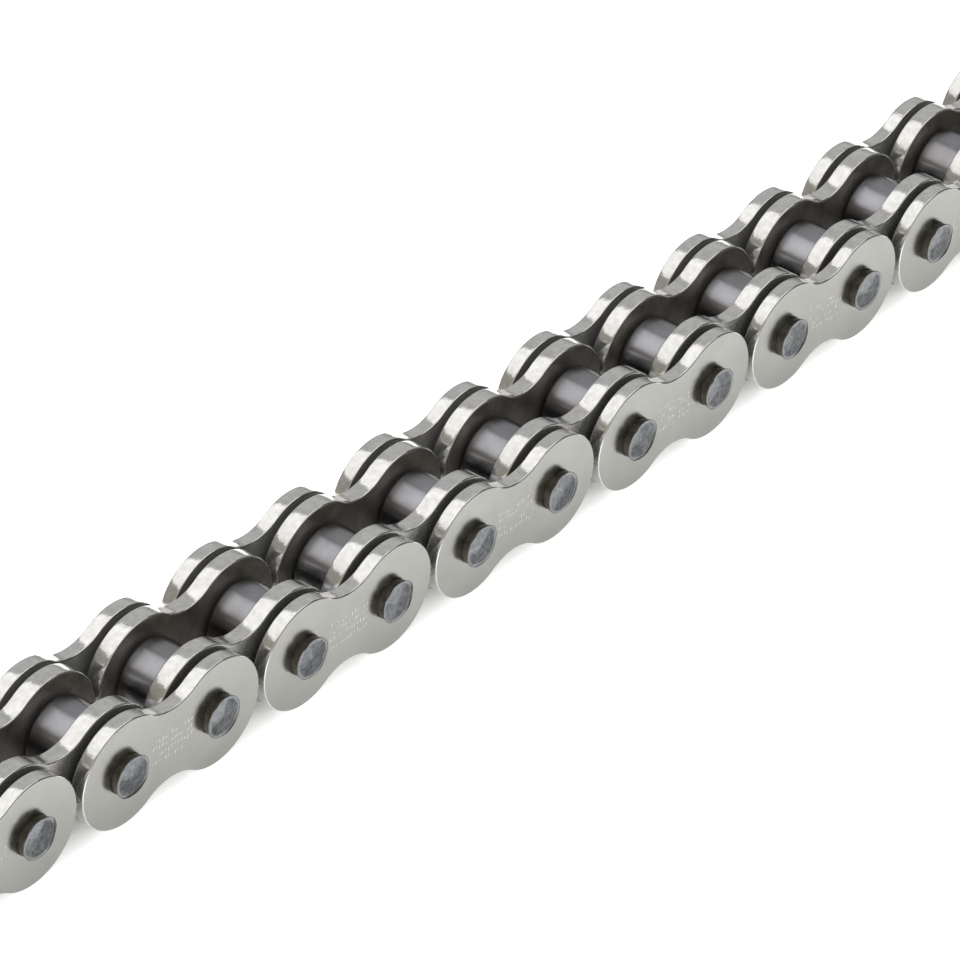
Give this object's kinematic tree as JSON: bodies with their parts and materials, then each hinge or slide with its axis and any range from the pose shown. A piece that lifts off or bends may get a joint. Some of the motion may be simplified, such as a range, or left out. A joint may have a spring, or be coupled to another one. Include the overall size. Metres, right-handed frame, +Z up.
{
  "type": "roller chain",
  "caption": "Length of heavy roller chain with riveted pins, waisted link plates and hidden seal rings; both ends stop at an open bush.",
  "frame": {"origin": "under the middle of the middle inner link, on the surface that the plates' edges stand on", "axes": "+X along the chain; +Y along the pins; +Z up, across the plates"},
  "size_m": [0.285, 0.0198, 0.0152],
  "materials": {
    "outer_plate_steel": "satin, nickel plated",
    "inner_plate_steel": "satin, nickel plated",
    "pin_steel": "ground and staked, blue-grey",
    "roller_steel": "polished, dark hardened",
    "bush_steel": "ground",
    "seal_rubber": "matt"
  },
  "bodies": {
    "inner_link_5": {"inner_plates_5": "inner_plate_steel", "bushes_5": "bush_steel"},
    "inner_link_1": {"inner_plates_1": "inner_plate_steel", "bushes_1": "bush_steel"},
    "inner_link_2": {"inner_plates_2": "inner_plate_steel", "bushes_2": "bush_steel"},
    "inner_link_3": {"inner_plates_3": "inner_plate_steel", "bushes_3": "bush_steel"},
    "inner_link_4": {"inner_plates_4": "inner_plate_steel", "bushes_4": "bush_steel"},
    "inner_link_6": {"inner_plates_6": "inner_plate_steel", "bushes_6": "bush_steel"},
    "inner_link_7": {"inner_plates_7": "inner_plate_steel", "bushes_7": "bush_steel"},
    "inner_link_8": {"inner_plates_8": "inner_plate_steel", "bushes_8": "bush_steel"},
    "inner_link_9": {"inner_plates_9": "inner_plate_steel", "bushes_9": "bush_steel"},
    "outer_link_1": {"outer_plates_1": "outer_plate_steel", "pins_1": "pin_steel", "seal_rings_1": "seal_rubber"},
    "outer_link_2": {"outer_plates_2": "outer_plate_steel", "pins_2": "pin_steel", "seal_rings_2": "seal_rubber"},
    "outer_link_3": {"outer_plates_3": "outer_plate_steel", "pins_3": "pin_steel", "seal_rings_3": "seal_rubber"},
    "outer_link_4": {"outer_plates_4": "outer_plate_steel", "pins_4": "pin_steel", "seal_rings_4": "seal_rubber"},
    "outer_link_5": {"outer_plates_5": "outer_plate_steel", "pins_5": "pin_steel", "seal_rings_5": "seal_rubber"},
    "outer_link_6": {"outer_plates_6": "outer_plate_steel", "pins_6": "pin_steel", "seal_rings_6": "seal_rubber"},
    "outer_link_7": {"outer_plates_7": "outer_plate_steel", "pins_7": "pin_steel", "seal_rings_7": "seal_rubber"},
    "outer_link_8": {"outer_plates_8": "outer_plate_steel", "pins_8": "pin_steel", "seal_rings_8": "seal_rubber"},
    "roller_01": {"roller_01": "roller_steel"},
    "roller_02": {"roller_02": "roller_steel"},
    "roller_03": {"roller_03": "roller_steel"},
    "roller_04": {"roller_04": "roller_steel"},
    "roller_05": {"roller_05": "roller_steel"},
    "roller_06": {"roller_06": "roller_steel"},
    "roller_07": {"roller_07": "roller_steel"},
    "roller_08": {"roller_08": "roller_steel"},
    "roller_09": {"roller_09": "roller_steel"},
    "roller_10": {"roller_10": "roller_steel"},
    "roller_11": {"roller_11": "roller_steel"},
    "roller_12": {"roller_12": "roller_steel"},
    "roller_13": {"roller_13": "roller_steel"},
    "roller_14": {"roller_14": "roller_steel"},
    "roller_15": {"roller_15": "roller_steel"},
    "roller_16": {"roller_16": "roller_steel"},
    "roller_17": {"roller_17": "roller_steel"},
    "roller_18": {"roller_18": "roller_steel"}
  },
  "joints": [
    {"name": "link_joint_09", "type": "hinge", "parent": "inner_link_5", "child": "outer_link_5", "pos_m": [0.00794, 0, 0.0076], "axis": [0, -1, 0], "range_deg": [-35, 35]},
    {"name": "link_joint_10", "type": "hinge", "parent": "outer_link_5", "child": "inner_link_6", "pos_m": [0.02381, 0, 0.0076], "axis": [0, -1, 0], "range_deg": [-35, 35]},
    {"name": "link_joint_11", "type": "hinge", "parent": "inner_link_6", "child": "outer_link_6", "pos_m": [0.03969, 0, 0.0076], "axis": [0, -1, 0], "range_deg": [-35, 35]},
    {"name": "link_joint_12", "type": "hinge", "parent": "outer_link_6", "child": "inner_link_7", "pos_m": [0.05556, 0, 0.0076], "axis": [0, -1, 0], "range_deg": [-35, 35]},
    {"name": "link_joint_13", "type": "hinge", "parent": "inner_link_7", "child": "outer_link_7", "pos_m": [0.07144, 0, 0.0076], "axis": [0, -1, 0], "range_deg": [-35, 35]},
    {"name": "link_joint_14", "type": "hinge", "parent": "outer_link_7", "child": "inner_link_8", "pos_m": [0.08731, 0, 0.0076], "axis": [0, -1, 0], "range_deg": [-35, 35]},
    {"name": "link_joint_15", "type": "hinge", "parent": "inner_link_8", "child": "outer_link_8", "pos_m": [0.10319, 0, 0.0076], "axis": [0, -1, 0], "range_deg": [-35, 35]},
    {"name": "link_joint_16", "type": "hinge", "parent": "outer_link_8", "child": "inner_link_9", "pos_m": [0.11906, 0, 0.0076], "axis": [0, -1, 0], "range_deg": [-35, 35]},
    {"name": "link_joint_08", "type": "hinge", "parent": "inner_link_5", "child": "outer_link_4", "pos_m": [-0.00794, 0, 0.0076], "axis": [0, -1, 0], "range_deg": [-35, 35]},
    {"name": "link_joint_07", "type": "hinge", "parent": "outer_link_4", "child": "inner_link_4", "pos_m": [-0.02381, 0, 0.0076], "axis": [0, -1, 0], "range_deg": [-35, 35]},
    {"name": "link_joint_06", "type": "hinge", "parent": "inner_link_4", "child": "outer_link_3", "pos_m": [-0.03969, 0, 0.0076], "axis": [0, -1, 0], "range_deg": [-35, 35]},
    {"name": "link_joint_05", "type": "hinge", "parent": "outer_link_3", "child": "inner_link_3", "pos_m": [-0.05556, 0, 0.0076], "axis": [0, -1, 0], "range_deg": [-35, 35]},
    {"name": "link_joint_04", "type": "hinge", "parent": "inner_link_3", "child": "outer_link_2", "pos_m": [-0.07144, 0, 0.0076], "axis": [0, -1, 0], "range_deg": [-35, 35]},
    {"name": "link_joint_03", "type": "hinge", "parent": "outer_link_2", "child": "inner_link_2", "pos_m": [-0.08731, 0, 0.0076], "axis": [0, -1, 0], "range_deg": [-35, 35]},
    {"name": "link_joint_02", "type": "hinge", "parent": "inner_link_2", "child": "outer_link_1", "pos_m": [-0.10319, 0, 0.0076], "axis": [0, -1, 0], "range_deg": [-35, 35]},
    {"name": "link_joint_01", "type": "hinge", "parent": "outer_link_1", "child": "inner_link_1", "pos_m": [-0.11906, 0, 0.0076], "axis": [0, -1, 0], "range_deg": [-35, 35]},
    {"name": "roller_01_spin", "type": "hinge", "parent": "inner_link_1", "child": "roller_01", "pos_m": [-0.13494, 0, 0.0076], "axis": [0, 1, 0], "continuous": true},
    {"name": "roller_02_spin", "type": "hinge", "parent": "inner_link_1", "child": "roller_02", "pos_m": [-0.11906, 0, 0.0076], "axis": [0, 1, 0], "continuous": true},
    {"name": "roller_03_spin", "type": "hinge", "parent": "inner_link_2", "child": "roller_03", "pos_m": [-0.10319, 0, 0.0076], "axis": [0, 1, 0], "continuous": true},
    {"name": "roller_04_spin", "type": "hinge", "parent": "inner_link_2", "child": "roller_04", "pos_m": [-0.08731, 0, 0.0076], "axis": [0, 1, 0], "continuous": true},
    {"name": "roller_05_spin", "type": "hinge", "parent": "inner_link_3", "child": "roller_05", "pos_m": [-0.07144, 0, 0.0076], "axis": [0, 1, 0], "continuous": true},
    {"name": "roller_06_spin", "type": "hinge", "parent": "inner_link_3", "child": "roller_06", "pos_m": [-0.05556, 0, 0.0076], "axis": [0, 1, 0], "continuous": true},
    {"name": "roller_07_spin", "type": "hinge", "parent": "inner_link_4", "child": "roller_07", "pos_m": [-0.03969, 0, 0.0076], "axis": [0, 1, 0], "continuous": true},
    {"name": "roller_08_spin", "type": "hinge", "parent": "inner_link_4", "child": "roller_08", "pos_m": [-0.02381, 0, 0.0076], "axis": [0, 1, 0], "continuous": true},
    {"name": "roller_09_spin", "type": "hinge", "parent": "inner_link_5", "child": "roller_09", "pos_m": [-0.00794, 0, 0.0076], "axis": [0, 1, 0], "continuous": true},
    {"name": "roller_10_spin", "type": "hinge", "parent": "inner_link_5", "child": "roller_10", "pos_m": [0.00794, 0, 0.0076], "axis": [0, 1, 0], "continuous": true},
    {"name": "roller_11_spin", "type": "hinge", "parent": "inner_link_6", "child": "roller_11", "pos_m": [0.02381, 0, 0.0076], "axis": [0, 1, 0], "continuous": true},
    {"name": "roller_12_spin", "type": "hinge", "parent": "inner_link_6", "child": "roller_12", "pos_m": [0.03969, 0, 0.0076], "axis": [0, 1, 0], "continuous": true},
    {"name": "roller_13_spin", "type": "hinge", "parent": "inner_link_7", "child": "roller_13", "pos_m": [0.05556, 0, 0.0076], "axis": [0, 1, 0], "continuous": true},
    {"name": "roller_14_spin", "type": "hinge", "parent": "inner_link_7", "child": "roller_14", "pos_m": [0.07144, 0, 0.0076], "axis": [0, 1, 0], "continuous": true},
    {"name": "roller_15_spin", "type": "hinge", "parent": "inner_link_8", "child": "roller_15", "pos_m": [0.08731, 0, 0.0076], "axis": [0, 1, 0], "continuous": true},
    {"name": "roller_16_spin", "type": "hinge", "parent": "inner_link_8", "child": "roller_16", "pos_m": [0.10319, 0, 0.0076], "axis": [0, 1, 0], "continuous": true},
    {"name": "roller_17_spin", "type": "hinge", "parent": "inner_link_9", "child": "roller_17", "pos_m": [0.11906, 0, 0.0076], "axis": [0, 1, 0], "continuous": true},
    {"name": "roller_18_spin", "type": "hinge", "parent": "inner_link_9", "child": "roller_18", "pos_m": [0.13494, 0, 0.0076], "axis": [0, 1, 0], "continuous": true}
  ]
}
